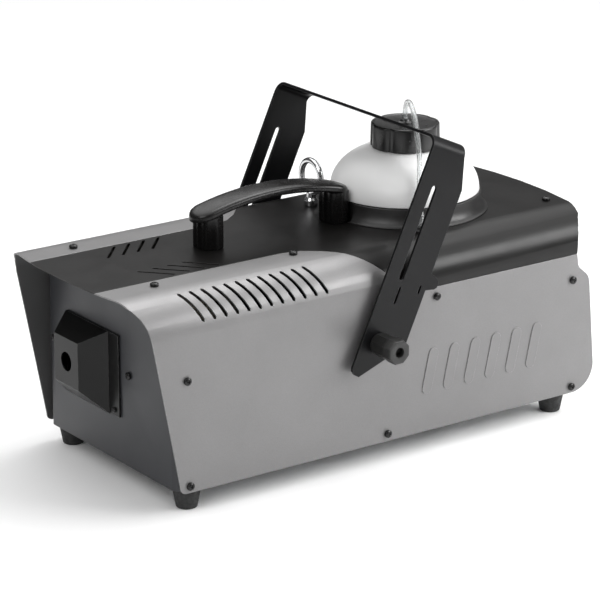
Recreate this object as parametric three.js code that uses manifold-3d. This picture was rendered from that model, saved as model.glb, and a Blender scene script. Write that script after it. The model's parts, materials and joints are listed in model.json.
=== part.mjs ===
// Fog machine with a raised fluid tank, a carry handle and a tilting hanging bracket.
// Millimetres, +Z up. The nozzle faces -Y, the width runs along X.
// Every length along Y below is measured from the front plate's face, and one
// group at the end moves the whole machine so that its middle stands on the origin.
import * as THREE from 'three';
import { mergeVertices } from 'three/addons/utils/BufferGeometryUtils.js';
import Module from 'manifold-3d';

const wasm = await Module();
wasm.setup();

// ---- driving dimensions -------------------------------------------------------

const GAP = 0.3;                 // clearance between pieces that touch
const CUT = 6;                   // how far a cutter runs past what it cuts

// casing
const HALF_WIDTH = 125;
const BOTTOM_Z = 22;
const TOP_Z = 219;
const CORNER_R = 37.5;           // long top corners
const SHEET = 1.5;
const HOOD_REACH = 56;           // top overhangs the front plate by this much
const REAR_REACH = 520;          // rear lip of the top
const FRONT_BOW = 17;            // the hood's edge is bowed in plan
const REAR_BOW = 16.5;
const PANEL_REAR = 519.5;
const FRONT_CORNER_R = 8;
const REAR_CORNER_R = 28;
const STRIP_HALF = 59.5;         // half width of the black strip between the side panels
const SPLIT_Z = 174.5;           // height of the cover's lower edge at the rear
const SPLIT_START = 165;         // the split line leaves the strip here
const SPLIT_END = 290;           // and reaches the cover's lower edge here
const LAP = 16;                  // width of the cover's flange under the side panels
const REAR_PANEL_Y = 486;
const SCREW_R = 2;
const CORNER_SEGMENTS = 4;       // passed to three.js, which makes twice as many facets

// nozzle and heater
const NOZZLE_X = -34;
const NOZZLE_Z = 118.5;
const HEATER_SIZE = [70, 138, 70];
const HEATER_FRONT = 12;
const JACKET_WALL = 11;

// tank
const TANK_Y = 363;
const TANK_R = 74;
const TANK_WALL = 2.5;
const TANK_BOTTOM = 75;
const RIM_R = 78;
const RIM_Z = 238;
const DOME_TOP = 284;
const NECK_R = 27.4;
const CAP_R = 35;
const CAP_LOBES = 7;
const CAP_LOBE_AT = THREE.MathUtils.degToRad(-39);   // middle of one lobe
const CAP_TOP = 309;
const TUBE_R = 2.8;

// hanging bracket, in its own frame: pivot at the origin, the arm along +Z
const PIVOT_Y = 228.5;
const PIVOT_Z = 133.5;
const LEAN = THREE.MathUtils.degToRad(24.7);
const STRAP = 3;
const ARM_OUT = 135.5;           // outer face of the arms
const ARM_TOP = 212;             // outer face of the crossbar
const BEND_R = 12;
const ARM_FRONT = -20;
const ARM_REAR = 34.5;
const BAR_REAR = 23;

// handle, eye and feet
const HANDLE_HALF_X = 16.5;
const HANDLE_Y = [98.6, 285.9];
const LEG_Y = [118.1, 272.2];
const LEG_HALF = [16, 12.4];
const LEG_FLUTES = 8;
const EYE = [-57, 285];
const FITTING = [83.5, 320];
const FOOT_X = 105.3;
const FOOT_Y = [19.7, 478.5];
const FOOT_R = [14, 10.5];

// rear controls: [x, z] on the rear panel
const SWITCH_AT = [-58, 60];
const ROCKER_TILT = THREE.MathUtils.degToRad(7);
const INLET_AT = [58, 60];
const FUSE_AT = [6, 60];
const DMX_IN_AT = [84, 150];
const DMX_OUT_AT = [50, 150];
const DISPLAY_AT = [-60, 164];
const DISPLAY_SIZE = [62, 22];
const BUTTON_Z = 137;
const BUTTON_PITCH = 18;
const BUTTON_R = 4;
const BUTTON_TRAVEL = 1.5;
const BOARD_Y = 452;              // control board, across the machine behind the rear panel
const BOARD = 1.6;

// ---- solids -------------------------------------------------------------------

// A closed solid from any closed geometry, turned so that its faces point out.
function solid(geometry) {
  const bare = geometry.clone();
  bare.deleteAttribute('normal');
  bare.deleteAttribute('uv');
  const merged = mergeVertices(bare, 1e-4);
  const place = merged.attributes.position.array;
  const index = merged.index.array;
  const triangles = [];
  for (let i = 0; i < index.length; i += 3) {
    const [a, b, c] = [index[i], index[i + 1], index[i + 2]];
    if (a !== b && b !== c && c !== a) triangles.push([a, b, c]);
  }
  const corner = (i) => new THREE.Vector3(place[3 * i], place[3 * i + 1], place[3 * i + 2]);
  const volume = triangles.reduce((sum, [a, b, c]) => sum + corner(a).dot(corner(b).cross(corner(c))), 0);
  const facingOut = volume < 0 ? triangles.map(([a, b, c]) => [a, c, b]) : triangles;
  return new wasm.Manifold(new wasm.Mesh({
    numProp: 3,
    vertProperties: Float32Array.from(place),
    triVerts: Uint32Array.from(facingOut.flat()),
  }));
}

function geometryOf(body) {
  const mesh = body.getMesh();
  const geometry = new THREE.BufferGeometry();
  geometry.setAttribute('position', new THREE.BufferAttribute(Float32Array.from(mesh.vertProperties), 3));
  geometry.setIndex(new THREE.BufferAttribute(Uint32Array.from(mesh.triVerts), 1));
  geometry.computeVertexNormals();
  return geometry;
}

const join = (...parts) => parts.reduce((whole, part) => whole.add(part));
const cutAway = (body, ...cutters) => cutters.reduce((left, cutter) => left.subtract(cutter), body);

// three.js divides an arc into twice as many segments as it is asked for, and a curve into as many.
function extruded(shape, depth, segments) {
  return new THREE.ExtrudeGeometry(shape, { depth, bevelEnabled: false, curveSegments: segments });
}

// An outline drawn in (y, z), swept from x0 to x1.
function alongX(shape, x0, x1, segments = 4) {
  const geometry = extruded(shape, x1 - x0, segments);
  const turn = new THREE.Matrix4().makeBasis(
    new THREE.Vector3(0, 1, 0),
    new THREE.Vector3(0, 0, 1),
    new THREE.Vector3(1, 0, 0),
  );
  return solid(geometry.applyMatrix4(turn).translate(x0, 0, 0));
}

// An outline drawn in (x, z), swept from y0 to y1.
function alongY(shape, y0, y1, segments = 4) {
  return solid(extruded(shape, y1 - y0, segments).rotateX(Math.PI / 2).translate(0, y1, 0));
}

// An outline drawn in (x, y), swept from z0 to z1.
function alongZ(shape, z0, z1, segments = 4) {
  return solid(extruded(shape, z1 - z0, segments).translate(0, 0, z0));
}

// An outline drawn in (q, y), where q runs down and outwards across a long top corner,
// swept square through that corner. side is 1 on the right and -1 on the left.
function throughCorner(shape, side, depth0, depth1, segments = 4) {
  const across = new THREE.Vector3(side, 0, -1).normalize();
  const outward = new THREE.Vector3(1, 0, side).normalize();
  const start = side > 0 ? depth0 : -depth1;
  const geometry = extruded(shape, depth1 - depth0, segments).translate(0, 0, start);
  const turn = new THREE.Matrix4().makeBasis(across, new THREE.Vector3(0, 1, 0), outward);
  return solid(geometry.applyMatrix4(turn));
}

// A profile of [radius, height] points turned about the Z axis.
function turned(profile, segments = 28) {
  const points = profile.map(([r, z]) => new THREE.Vector2(r, z));
  points.push(points[0].clone());
  return solid(new THREE.LatheGeometry(points, segments).rotateX(Math.PI / 2));
}

function box(x0, x1, y0, y1, z0, z1) {
  const geometry = new THREE.BoxGeometry(x1 - x0, y1 - y0, z1 - z0);
  return solid(geometry.translate((x0 + x1) / 2, (y0 + y1) / 2, (z0 + z1) / 2));
}

// A round rod from one point to another along X, Y or Z.
function rod(axis, centre, from, to, radius, segments = 20) {
  const geometry = new THREE.CylinderGeometry(radius, radius, to - from, segments);
  const middle = (from + to) / 2;
  if (axis === 'x') geometry.rotateZ(-Math.PI / 2).translate(middle, centre[0], centre[1]);
  if (axis === 'y') geometry.translate(centre[0], middle, centre[1]);
  if (axis === 'z') geometry.rotateX(Math.PI / 2).translate(centre[0], centre[1], middle);
  return solid(geometry);
}

function hose(points, radius, steps) {
  const section = new THREE.Shape();
  section.absarc(0, 0, radius, 0, 2 * Math.PI, false);
  const path = new THREE.CatmullRomCurve3(points.map((p) => new THREE.Vector3(...p)), false, 'centripetal');
  return solid(new THREE.ExtrudeGeometry(section, { steps, extrudePath: path, curveSegments: 4 }));
}

// ---- outlines -----------------------------------------------------------------

function rectangle(x0, x1, y0, y1) {
  const shape = new THREE.Shape();
  shape.moveTo(x0, y0);
  shape.lineTo(x1, y0);
  shape.lineTo(x1, y1);
  shape.lineTo(x0, y1);
  shape.closePath();
  return shape;
}

function roundedRectangle(x0, x1, y0, y1, r) {
  const shape = new THREE.Shape();
  shape.absarc(x1 - r, y1 - r, r, 0, Math.PI / 2, false);
  shape.absarc(x0 + r, y1 - r, r, Math.PI / 2, Math.PI, false);
  shape.absarc(x0 + r, y0 + r, r, Math.PI, 1.5 * Math.PI, false);
  shape.absarc(x1 - r, y0 + r, r, 1.5 * Math.PI, 2 * Math.PI, false);
  shape.closePath();
  return shape;
}

function stadium([ax, ay], [bx, by], width) {
  const angle = Math.atan2(by - ay, bx - ax);
  const shape = new THREE.Shape();
  shape.absarc(bx, by, width / 2, angle - Math.PI / 2, angle + Math.PI / 2, false);
  shape.absarc(ax, ay, width / 2, angle + Math.PI / 2, angle + 1.5 * Math.PI, false);
  shape.closePath();
  return shape;
}

function polar(radiusAt, count) {
  const shape = new THREE.Shape();
  for (let i = 0; i < count; i += 1) {
    const angle = (2 * Math.PI * i) / count;
    const point = [radiusAt(angle) * Math.cos(angle), radiusAt(angle) * Math.sin(angle)];
    if (i === 0) shape.moveTo(...point);
    else shape.lineTo(...point);
  }
  shape.closePath();
  return shape;
}

// Cross section of the casing in (x, z), a given depth inside the outer skin.
function wallOutline(inset, bottom) {
  const half = HALF_WIDTH - inset;
  const r = CORNER_R - inset;
  const top = TOP_Z - inset;
  const shape = new THREE.Shape();
  shape.moveTo(-half, bottom);
  shape.lineTo(half, bottom);
  shape.absarc(half - r, top - r, r, 0, Math.PI / 2, false);
  shape.absarc(r - half, top - r, r, Math.PI / 2, Math.PI, false);
  shape.closePath();
  return shape;
}

// Side view of the casing in (y, z): swept-back front edge, hooded top at both ends,
// and a small step in the rear edge just under the cover.
function sideOutline() {
  const shape = new THREE.Shape();
  shape.moveTo(FRONT_CORNER_R, BOTTOM_Z);
  shape.absarc(PANEL_REAR - REAR_CORNER_R, BOTTOM_Z + REAR_CORNER_R, REAR_CORNER_R, -Math.PI / 2, 0, false);
  shape.lineTo(511.5, 138);
  shape.quadraticCurveTo(511, 147, 506, 151.5);
  shape.lineTo(498.5, 157.7);
  shape.quadraticCurveTo(495.2, 160.5, 495, 165);
  shape.lineTo(493.5, SPLIT_Z);
  shape.quadraticCurveTo(494, 213, REAR_REACH, TOP_Z);
  shape.lineTo(REAR_REACH, TOP_Z + CUT);
  shape.lineTo(-HOOD_REACH, TOP_Z + CUT);
  shape.lineTo(-HOOD_REACH, TOP_Z);
  shape.quadraticCurveTo(-35.5, 217.4, -29, 182);
  shape.quadraticCurveTo(-13, 100, 0, BOTTOM_Z + FRONT_CORNER_R);
  shape.quadraticCurveTo(0, BOTTOM_Z, FRONT_CORNER_R, BOTTOM_Z);
  return shape;
}

// Plan view of the casing in (x, y): the front edge is bowed, and so is the cover's rear edge.
function planOutline(rearBow) {
  const reach = HALF_WIDTH + CUT;
  const bow = (end, depth) => end - depth * (reach / HALF_WIDTH) ** 2;
  const front = -bow(HOOD_REACH, FRONT_BOW);
  const rear = bow(REAR_REACH, rearBow);
  const shape = new THREE.Shape();
  shape.moveTo(-reach, front);
  shape.quadraticCurveTo(0, -2 * HOOD_REACH - front, reach, front);
  shape.lineTo(reach, rear);
  shape.quadraticCurveTo(0, 2 * REAR_REACH - rear, -reach, rear);
  shape.closePath();
  return shape;
}

// The part of a long corner that belongs to a side panel, in (q, y).
function panelRegion(shift) {
  const strip = (STRIP_HALF - TOP_Z) / Math.SQRT2 + shift;
  const skirt = (HALF_WIDTH - SPLIT_Z) / Math.SQRT2 + shift;
  const low = (HALF_WIDTH - BOTTOM_Z) / Math.SQRT2 + CUT;
  const shape = new THREE.Shape();
  shape.moveTo(strip, -HOOD_REACH - CUT);
  shape.lineTo(strip, SPLIT_START);
  shape.bezierCurveTo(strip, SPLIT_START + 55, skirt, SPLIT_END - 48, skirt, SPLIT_END);
  shape.lineTo(skirt, REAR_REACH + CUT);
  shape.lineTo(low, REAR_REACH + CUT);
  shape.lineTo(low, -HOOD_REACH - CUT);
  shape.closePath();
  return shape;
}

// ---- casing -------------------------------------------------------------------

// A layer of the casing between two depths, trimmed to its side and plan outlines.
function skin(outer, inner, rearBow) {
  const layer = (inset, past) => {
    const outline = wallOutline(inset, BOTTOM_Z - past);
    return alongY(outline, -HOOD_REACH - past, REAR_REACH + past, CORNER_SEGMENTS);
  };
  const whole = layer(outer, CUT);
  const hollow = layer(inner, 2 * CUT);
  const side = alongX(sideOutline(), -HALF_WIDTH - CUT, HALF_WIDTH + CUT, 5);
  const plan = alongZ(planOutline(rearBow), BOTTOM_Z - CUT, TOP_Z + CUT, 6);
  return whole.subtract(hollow).intersect(side).intersect(plan);
}

function regionSolid(side, shift) {
  return throughCorner(panelRegion(shift), side, 0, 250, 8);
}

// Twelve slanted vents across a long top corner.
function cornerVents(side) {
  const vents = [];
  for (let i = 0; i < 12; i += 1) {
    const y = 16 + 13.2 * i;
    vents.push(throughCorner(stadium([-81, y], [-50, y + 14], 3.8), side, 205, 240, 1));
  }
  return vents;
}

// Raised bars on the flat of a side panel, pressed outwards through the sheet.
function pressedBars(side) {
  const bars = [];
  for (let i = 0; i < 6; i += 1) {
    const y = 302 + 27 * i;
    const outline = stadium([y - 4, 68], [y + 4, 104], 12);
    const [x0, x1] = side > 0 ? [HALF_WIDTH - 1, HALF_WIDTH + 0.9] : [-HALF_WIDTH - 0.9, 1 - HALF_WIDTH];
    bars.push(alongX(outline, x0, x1, 3));
  }
  return bars;
}

const coverScrews = [[74, 6.5], [70, 172]].flatMap(([x, y]) => [[x, y], [-x, y]]);
const rearScrews = [[71, 495], [-71, 495]];

function screwHoles(places) {
  return places.map((place) => rod('z', place, TOP_Z - 10, TOP_Z + CUT, SCREW_R + 0.3, 10));
}

function sidePanel(side) {
  const sheet = skin(0, SHEET, 0).intersect(regionSolid(side, 0.25));
  const pivotHole = rod('x', [PIVOT_Y, PIVOT_Z], side > 0 ? 110 : -140, side > 0 ? 140 : -110, 4.4, 14);
  const panel = join(sheet, ...pressedBars(side));
  return cutAway(panel, ...cornerVents(side), pivotHole, ...screwHoles(coverScrews));
}

// Four slanted vents on each side of the strip, opening towards the rear.
function chevronVents() {
  const vents = [];
  for (const side of [1, -1]) {
    for (let i = 0; i < 4; i += 1) {
      const y = 18 + 17.3 * i;
      vents.push(alongZ(stadium([27 * side, y], [54 * side, y + 24], 3), TOP_Z - 10, TOP_Z + CUT, 1));
    }
  }
  return vents;
}

function topCover() {
  const outside = cutAway(skin(0, SHEET, REAR_BOW), regionSolid(1, -0.25), regionSolid(-1, -0.25));
  const lapTop = SHEET + GAP;
  const flange = skin(lapTop, lapTop + SHEET, REAR_BOW);
  const web = skin(SHEET / 2, lapTop + SHEET, REAR_BOW);
  const lapped = [1, -1].map((side) => {
    const edge = regionSolid(side, -6);
    const flangeBand = cutAway(edge, regionSolid(side, LAP));
    const webBand = cutAway(edge, regionSolid(side, -0.25));
    return join(flange.intersect(flangeBand), web.intersect(webBand));
  });
  const tankHole = rod('z', [0, TANK_Y], TOP_Z - 10, TOP_Z + CUT, TANK_R + 2, 28);
  const eyeHole = rod('z', EYE, TOP_Z - 10, TOP_Z + CUT, 4.3, 14);
  const fittingHole = rod('z', FITTING, TOP_Z - 10, TOP_Z + CUT, 5.6, 14);
  const holes = screwHoles([...coverScrews, ...rearScrews]);
  const under = [BOTTOM_Z, TOP_Z - SHEET - 0.1];
  const frontClear = box(-HALF_WIDTH, HALF_WIDTH, -HOOD_REACH - CUT, 3, ...under);
  const rearClear = box(-HALF_WIDTH, HALF_WIDTH, REAR_PANEL_Y - 1, REAR_REACH + CUT, ...under);
  const nutClear = [1, -1].map((side) => (
    rod('x', [PIVOT_Y, PIVOT_Z], side * 118 - 12, side * 118 + 12, 14, 16)
  ));
  const shell = cutAway(join(...lapped), frontClear, rearClear, ...nutClear).add(outside);
  return cutAway(shell, tankHole, eyeHole, fittingHole, ...chevronVents(), ...holes);
}

// Shallow pan: a face with both upright edges bent back, cut to the casing's inside.
function frontPlate() {
  const half = HALF_WIDTH - 8;
  const bend = 8;
  const shape = new THREE.Shape();
  shape.moveTo(-half + bend, 0);
  shape.lineTo(half - bend, 0);
  shape.absarc(half - bend, bend, bend, -Math.PI / 2, 0, false);
  shape.lineTo(half, 20);
  shape.lineTo(half - SHEET, 20);
  shape.absarc(half - bend, bend, bend - SHEET, 0, -Math.PI / 2, true);
  shape.absarc(-half + bend, bend, bend - SHEET, -Math.PI / 2, -Math.PI, true);
  shape.lineTo(-half + SHEET, 20);
  shape.lineTo(-half, 20);
  shape.absarc(-half + bend, bend, bend, Math.PI, 1.5 * Math.PI, false);
  shape.closePath();
  const pan = alongZ(shape, BOTTOM_Z, TOP_Z, 3);
  const inside = alongY(wallOutline(SHEET + GAP, BOTTOM_Z - CUT), -CUT, 40, CORNER_SEGMENTS);
  const lip = box(-half + 4, half - 4, 0.7, 14, TOP_Z - SHEET - GAP - 8, TOP_Z - SHEET - GAP - 6.5);
  const nozzleHole = rod('y', [NOZZLE_X, NOZZLE_Z], -CUT, CUT, 8, 18);
  const holes = [36, -104].map((x) => rod('y', [x, 118], -CUT, CUT, SCREW_R + 0.3, 10));
  return cutAway(pan.add(lip).intersect(inside), nozzleHole, ...holes);
}

function baseTray() {
  const half = HALF_WIDTH - SHEET - 2 * GAP;
  const shape = new THREE.Shape();
  shape.moveTo(-half, BOTTOM_Z);
  shape.lineTo(half, BOTTOM_Z);
  shape.lineTo(half, BOTTOM_Z + 18);
  shape.lineTo(half - SHEET, BOTTOM_Z + 18);
  shape.lineTo(half - SHEET, BOTTOM_Z + SHEET);
  shape.lineTo(-half + SHEET, BOTTOM_Z + SHEET);
  shape.lineTo(-half + SHEET, BOTTOM_Z + 18);
  shape.lineTo(-half, BOTTOM_Z + 18);
  shape.closePath();
  return alongY(shape, 21, REAR_PANEL_Y - GAP);
}

const buttonX = [0, 1, 2, 3].map((i) => DISPLAY_AT[0] + (i - 1.5) * BUTTON_PITCH);

function rearPanel() {
  const outline = wallOutline(SHEET + 2 * GAP, BOTTOM_Z);
  const plate = alongY(outline, REAR_PANEL_Y, REAR_PANEL_Y + SHEET, CORNER_SEGMENTS);
  const window = ([x, z], [w, h]) => alongY(
    rectangle(x - w / 2, x + w / 2, z - h / 2, z + h / 2),
    REAR_PANEL_Y - CUT,
    REAR_PANEL_Y + CUT,
  );
  const hole = ([x, z], r) => rod('y', [x, z], REAR_PANEL_Y - CUT, REAR_PANEL_Y + CUT, r, 18);
  return cutAway(
    plate,
    window(SWITCH_AT, [28.6, 21.6]),
    window(INLET_AT, [28.6, 21.6]),
    window(DISPLAY_AT, [DISPLAY_SIZE[0] + 0.6, DISPLAY_SIZE[1] + 0.6]),
    hole(FUSE_AT, 6.6),
    hole(DMX_IN_AT, 12),
    hole(DMX_OUT_AT, 12),
    ...buttonX.map((x) => hole([x, BUTTON_Z], BUTTON_R + 0.4)),
  );
}

function foot() {
  const [top, bottom] = FOOT_R;
  return turned([[0, 0], [bottom - 2, 0], [bottom, 2.2], [top, BOTTOM_Z - 3], [top, BOTTOM_Z - GAP],
    [0, BOTTOM_Z - GAP]], 20);
}

function screw(headR = 4.2, length = 8) {
  return turned([[0, -length], [SCREW_R, -length], [SCREW_R, GAP], [headR, GAP], [headR, 2.4],
    [headR * 0.7, 3.6], [0, 3.9]], 8);
}

// ---- nozzle, heater and pump ----------------------------------------------------

// A four-sided taper between a rear rectangle and a front one, each [x0, x1, z0, z1].
function taper(rear, front, yRear, yFront) {
  const geometry = new THREE.BoxGeometry(2, 2, 2);
  const place = geometry.attributes.position;
  for (let i = 0; i < place.count; i += 1) {
    const rectangleHere = place.getY(i) > 0 ? rear : front;
    const x = rectangleHere[place.getX(i) > 0 ? 1 : 0];
    const z = rectangleHere[place.getZ(i) > 0 ? 3 : 2];
    place.setXYZ(i, x, place.getY(i) > 0 ? yRear : yFront, z);
  }
  return solid(geometry);
}

const SHROUD_REAR = [-77, 3, 69, 155];
const SHROUD_FRONT = [-56, -12, 94, 143];
const SHROUD_Y = [-2.6, -29];

function nozzleShroud() {
  const shrink = ([x0, x1, z0, z1], d) => [x0 + d, x1 - d, z0 + d, z1 - d];
  const hollow = taper(shrink(SHROUD_REAR, 1), shrink(SHROUD_FRONT, 3), SHROUD_Y[0] + 1, SHROUD_Y[1] + 1.6);
  const mouth = rod('y', [NOZZLE_X, NOZZLE_Z], SHROUD_Y[1] - CUT, SHROUD_Y[1] + CUT, 10, 24);
  return cutAway(taper(SHROUD_REAR, SHROUD_FRONT, ...SHROUD_Y), hollow, mouth);
}

function nozzleFlange() {
  const plate = alongY(rectangle(-77, 20, 70, 155), SHROUD_Y[0] + GAP, -GAP);
  return cutAway(plate, rod('y', [NOZZLE_X, NOZZLE_Z], -CUT, CUT, 12, 18));
}

function nozzle() {
  const body = turned([[1.2, -20], [3.2, -20], [6, -15], [6, 3], [10, 3], [10, 9], [6, 9],
    [6, HEATER_FRONT - GAP], [1.2, HEATER_FRONT - GAP]], 16);
  return solid(geometryOf(body).rotateX(-Math.PI / 2).translate(NOZZLE_X, 0, NOZZLE_Z));
}

function heaterBlock() {
  const [w, l, h] = HEATER_SIZE;
  const [left, right] = [NOZZLE_X - w / 2, NOZZLE_X + w / 2];
  const block = box(left, right, HEATER_FRONT, HEATER_FRONT + l, NOZZLE_Z - h / 2, NOZZLE_Z + h / 2);
  const inlet = rod('y', [NOZZLE_X, NOZZLE_Z], HEATER_FRONT + l - 1, HEATER_FRONT + l + 9, 6, 12);
  return join(block, inlet);
}

function heaterJacket() {
  const outline = (grow) => {
    const w = HEATER_SIZE[0] / 2 + grow;
    const h = HEATER_SIZE[2] / 2 + grow;
    return roundedRectangle(NOZZLE_X - w, NOZZLE_X + w, NOZZLE_Z - h, NOZZLE_Z + h, Math.max(1, grow - 2));
  };
  const end = HEATER_FRONT + HEATER_SIZE[1];
  const outer = alongY(outline(JACKET_WALL), HEATER_FRONT + 8, end - 3, 4);
  return outer.subtract(alongY(outline(GAP), HEATER_FRONT, end, 2));
}

function heaterBracket(y) {
  const top = NOZZLE_Z - HEATER_SIZE[2] / 2 - JACKET_WALL - GAP;
  const floor = BOTTOM_Z + SHEET + GAP;
  const web = box(NOZZLE_X - 38, NOZZLE_X + 38, y, y + 2, floor, top);
  const footing = box(NOZZLE_X - 38, NOZZLE_X + 38, y, y + 16, floor, floor + 2);
  const shelf = box(NOZZLE_X - 38, NOZZLE_X + 38, y, y + 16, top - 2, top);
  return join(web, footing, shelf);
}

const PUMP = { y: 208, z: 62, from: -18, to: 66, r: 19, bore: 6.5 };

function pumpBody() {
  const { y, z, from, to, r, bore } = PUMP;
  const coil = rod('x', [y, z], from + 12, to - 12, r, 20);
  const core = rod('x', [y, z], from, to, 11, 16);
  const chamber = rod('x', [y, z], from + 18, to - 18, bore, 16);
  const port = rod('x', [y, z], from - 1, to + 1, 2.2, 10);
  const plate = box(from + 14, to - 14, y - 18, y + 18, BOTTOM_Z + SHEET + GAP + 2.3, z - 16);
  return cutAway(join(coil, core, plate), chamber, port);
}

function pumpPlunger() {
  const { y, z, from, to, bore } = PUMP;
  return rod('x', [y, z], from + 24, to - 24, bore - GAP, 14);
}

function pumpBracket() {
  const { y, from, to } = PUMP;
  const floor = BOTTOM_Z + SHEET + GAP;
  return box(from + 4, to - 4, y - 26, y + 26, floor, floor + 2);
}

function pressurePipe() {
  const { y, z, from } = PUMP;
  const inletY = HEATER_FRONT + HEATER_SIZE[1] + 9 + GAP;
  const bend = inletY + 12;
  return hose([[from - 0.6, y, z], [from - 6, y, z], [NOZZLE_X, y - 2, z + 12],
    [NOZZLE_X, y - 14, NOZZLE_Z - 10], [NOZZLE_X, bend, NOZZLE_Z], [NOZZLE_X, inletY + 0.3, NOZZLE_Z]], 2.5, 18);
}

function suctionHose() {
  const { y, z, to } = PUMP;
  const [x, fittingY] = FITTING;
  return hose([[x, fittingY, 203], [x + 1, fittingY - 2, 185], [x + 12, fittingY - 24, 140],
    [x + 14, fittingY - 66, 92], [x + 10, y + 8, z + 6], [to + 8, y, z], [to + GAP, y, z]], 3.5, 22);
}

// ---- tank -----------------------------------------------------------------------

// Radius of the dome at a height, a softened quarter ellipse.
function domeRadius(z) {
  const rise = (z - RIM_Z) / (DOME_TOP + 4 - RIM_Z);
  return (RIM_R - 0.5) * (1 - rise ** 2.15) ** (1 / 2.15);
}

function fluidTank() {
  const outside = [];
  const inside = [];
  const steps = 5;
  for (let i = 0; i <= steps; i += 1) {
    const z = RIM_Z + 1 + (DOME_TOP - RIM_Z - 1) * Math.sin((Math.PI / 2) * (i / steps));
    outside.push([domeRadius(z), z]);
    inside.push([domeRadius(z) - TANK_WALL, z - TANK_WALL]);
  }
  const neckTop = CAP_TOP - 9;
  const profile = [
    [0, TANK_BOTTOM], [TANK_R - 8, TANK_BOTTOM], [TANK_R - 2, TANK_BOTTOM + 3], [TANK_R, TANK_BOTTOM + 9],
    [TANK_R, RIM_Z + 1],
    ...outside,
    [NECK_R, DOME_TOP], [NECK_R, neckTop], [NECK_R - 3, neckTop],
    [NECK_R - 3, DOME_TOP - TANK_WALL],
    ...inside.slice(1).reverse(),
    [TANK_R - TANK_WALL, RIM_Z - 6], [TANK_R - TANK_WALL, TANK_BOTTOM + 8], [0, TANK_BOTTOM + TANK_WALL],
  ];
  return turned(profile, 24);
}

// Flared ring round the tank's opening, with a flat where the handle's rear leg stands.
function tankCollar() {
  const base = TOP_Z + GAP;
  const ring = turned([[TANK_R + 1.5, base], [86.5, base], [85.5, base + 2], [82.5, base + 6],
    [80.3, base + 12], [79.4, RIM_Z - 1.5], [78.2, RIM_Z], [TANK_R + 1.5, RIM_Z]], 28);
  const flat = LEG_Y[1] + LEG_HALF[1] + GAP - TANK_Y;
  const legHalf = LEG_HALF[0] + 2 * GAP;
  return ring.subtract(box(-legHalf, legHalf, flat - 20, flat, base - CUT, RIM_Z + CUT));
}

function tankCradle() {
  const floor = BOTTOM_Z + SHEET + GAP;
  const seat = TANK_BOTTOM - GAP;
  return turned([[46, floor], [58, floor], [58, floor + 2], [48, floor + 2], [48, seat - 3],
    [TANK_R + 4, seat - 3], [TANK_R + 4, seat + 22], [TANK_R + 2, seat + 22], [TANK_R + 2, seat],
    [30, seat], [30, seat - 3], [46, seat - 3]], 24);
}

function tankCap() {
  const lobed = polar((angle) => CAP_R + 0.9 * Math.cos(CAP_LOBES * (angle - CAP_LOBE_AT)), 49);
  const outside = alongZ(lobed, DOME_TOP + GAP, CAP_TOP);
  const thread = rod('z', [0, 0], DOME_TOP - CUT, CAP_TOP - 6, NECK_R + 0.6, 28);
  const gland = rod('z', [0, 0], CAP_TOP - 8, CAP_TOP + CUT, 7, 16);
  return cutAway(outside, thread, gland);
}

function capGland() {
  const hole = TUBE_R + 0.5;
  return turned([[hole, CAP_TOP - 8], [6.7, CAP_TOP - 8], [6.7, CAP_TOP + GAP], [9, CAP_TOP + GAP],
    [9, CAP_TOP + 1.6], [5, CAP_TOP + 3.4], [hole, CAP_TOP + 3.4]], 16);
}

function pickupTube() {
  const [x, y] = FITTING;
  return hose([[0, TANK_Y, TANK_BOTTOM + 8], [0, TANK_Y, 200], [0, TANK_Y, 306], [-0.2, TANK_Y, 315],
    [3, TANK_Y - 1.5, 328], [13, TANK_Y - 5, 333], [25, TANK_Y - 9, 327], [36.5, TANK_Y - 14, 314], [50, TANK_Y - 21, 296],
    [58, TANK_Y - 25.5, 284], [66, TANK_Y - 32, 267], [75, TANK_Y - 38, 247], [81.5, y + 2, 236], [x, y, 229],
    [x, y, 224], [x, y, TOP_Z - 1]], TUBE_R, 36);
}

function tubeFitting() {
  const hole = TUBE_R + 0.5;
  return turned([[hole, 204], [5, 204], [5, TOP_Z + GAP], [6.6, TOP_Z + GAP], [6.6, TOP_Z + 2.6],
    [5.2, TOP_Z + 3.4], [5.2, TOP_Z + 6], [hole, TOP_Z + 6]], 16);
}

// ---- handle, eye and bracket ------------------------------------------------------

function carryHandle() {
  const [y0, y1] = HANDLE_Y;
  const middle = (y0 + y1) / 2;
  const grip = new THREE.Shape();
  grip.moveTo(y0 - 2, 246);
  grip.quadraticCurveTo(middle, 278, y1 + 2, 246);
  grip.lineTo(y1 + 2, 255);
  grip.quadraticCurveTo(middle, 285, y0 - 2, 255);
  grip.closePath();
  const plan = stadium([0, y0 + HANDLE_HALF_X], [0, y1 - HANDLE_HALF_X], 2 * HANDLE_HALF_X);
  const bar = alongX(grip, -20, 20, 10).intersect(alongZ(plan, TOP_Z, 300, 4));
  const fluted = polar((angle) => {
    const across = Math.abs(Math.cos(angle)) / LEG_HALF[0];
    const along = Math.abs(Math.sin(angle)) / LEG_HALF[1];
    return (across ** 3 + along ** 3) ** (-1 / 3) + 0.5 * (Math.cos(LEG_FLUTES * angle) - 1);
  }, 48);
  const legs = LEG_Y.map((y) => {
    const geometry = geometryOf(alongZ(fluted, TOP_Z + GAP, 252));
    return solid(geometry.translate(0, y, 0));
  });
  return join(bar, ...legs);
}

function liftingEye() {
  const ring = solid(new THREE.TorusGeometry(16.8, 3.3, 8, 24).rotateX(Math.PI / 2).translate(0, 0, 250));
  const stem = turned([[0, 204], [3.9, 204], [3.9, TOP_Z + GAP], [7, TOP_Z + GAP], [7, 225], [5.2, 228],
    [4.8, 233.5], [0, 235]], 16);
  return join(ring, stem);
}

function eyeNut() {
  const hexagon = polar(() => 8.5, 6);
  return alongZ(hexagon, 208, TOP_Z - SHEET - GAP).subtract(rod('z', [0, 0], 200, 230, 4.2, 14));
}

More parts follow.
